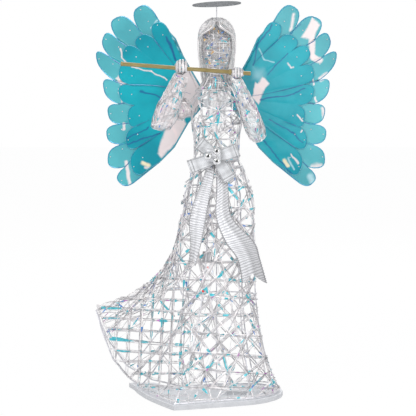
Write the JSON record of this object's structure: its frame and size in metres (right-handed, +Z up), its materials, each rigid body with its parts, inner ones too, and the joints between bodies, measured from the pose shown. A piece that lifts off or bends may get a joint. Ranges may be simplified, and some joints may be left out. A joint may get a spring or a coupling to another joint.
{
  "type": "lighted angel figurine",
  "caption": "Free-standing lighted angel of stiff glitter netting on a wire frame, with folding film wings, a halo, a ribbon bow, a flute and a flat base that holds batteries.",
  "frame": {"origin": "middle of the underside of the centre foot, on the surface that the figure stands on", "axes": "+Z up, the figure faces -Y, and its left side is +X; the train of its skirt sweeps towards -X"},
  "size_m": [0.5723, 0.2994, 0.9161],
  "materials": {
    "netting": "stiff pearl netting with glitter strips",
    "wire": "silver-white painted steel wire",
    "plate": "light grey moulded plastic",
    "moulding": "off-white moulded plastic",
    "rubber": "matte",
    "steel": "plain",
    "cell": "plain dark jacket",
    "switch": "dark grey",
    "bulb": "clear wire and small LED bulbs",
    "film": "transparent iridescent film",
    "hair": "silver-grey fine mesh",
    "gold": "satin olive gold",
    "satin": "silver satin ribbon",
    "organza": "crinkled silver organza",
    "chrome": "polished",
    "glitter": "dark grey glitter"
  },
  "bodies": {
    "figure": {"skirt_net_front_left": "netting", "skirt_net_back_left": "netting", "skirt_net_back_right": "netting", "skirt_net_front_right": "netting", "skirt_frame": "wire", "battery_holder": "moulding", "base_plate": "plate", "foot_1": "rubber", "foot_2": "rubber", "foot_3": "rubber", "foot_4": "rubber", "battery_cell_1": "cell", "battery_cell_2": "cell", "battery_cell_3": "cell", "contact_plate_inner": "steel", "contact_plate_outer": "steel", "torso_net_back": "netting", "torso_net_front": "netting", "torso_frame": "wire", "head_form": "netting", "hair_hood": "hair", "halo_disc": "glitter", "halo_wire": "wire", "flute_tube": "gold", "flute_cap": "gold", "flute_lip_ring": "gold", "right_hand": "netting", "right_arm_wire": "wire", "right_upper_sleeve": "netting", "right_forearm_sleeve": "netting", "left_hand": "netting", "left_arm_wire": "wire", "left_upper_sleeve": "netting", "left_forearm_sleeve": "netting", "wing_bracket": "moulding", "right_hinge_pin": "steel", "left_hinge_pin": "steel", "bow_loop_upper_right": "satin", "bow_loop_lower_left": "satin", "bow_loop_lower_right": "satin", "bow_loop_upper_left": "satin", "bow_tie": "satin", "bow_ball_1": "chrome", "bow_ball_2": "chrome", "bow_ball_3": "chrome", "bow_tail_right": "organza", "bow_tail_left": "organza", "light_junction": "moulding", "lower_light_string": "bulb", "upper_light_string": "bulb"},
    "left_wing": {"left_wing_outer_frame": "wire", "left_wing_outer_film": "film", "left_wing_inner_frame": "wire", "left_wing_inner_film": "film"},
    "right_wing": {"right_wing_outer_frame": "wire", "right_wing_outer_film": "film", "right_wing_inner_frame": "wire", "right_wing_inner_film": "film"},
    "battery_door": {"battery_door": "moulding"},
    "power_switch": {"power_switch": "switch"}
  },
  "joints": [
    {"name": "left_wing_fold", "type": "hinge", "parent": "figure", "child": "left_wing", "pos_m": [0.018, 0.062, 0.683], "axis": [0, 0, 1], "range_deg": [0, 60]},
    {"name": "right_wing_fold", "type": "hinge", "parent": "figure", "child": "right_wing", "pos_m": [-0.018, 0.062, 0.683], "axis": [0, 0, -1], "range_deg": [0, 60]},
    {"name": "battery_door_slide", "type": "slide", "parent": "figure", "child": "battery_door", "axis": [1, 0, 0], "range_m": [0, 0.028]},
    {"name": "power_switch_slide", "type": "slide", "parent": "figure", "child": "power_switch", "axis": [1, 0, 0], "range_m": [0, 0.004]}
  ]
}
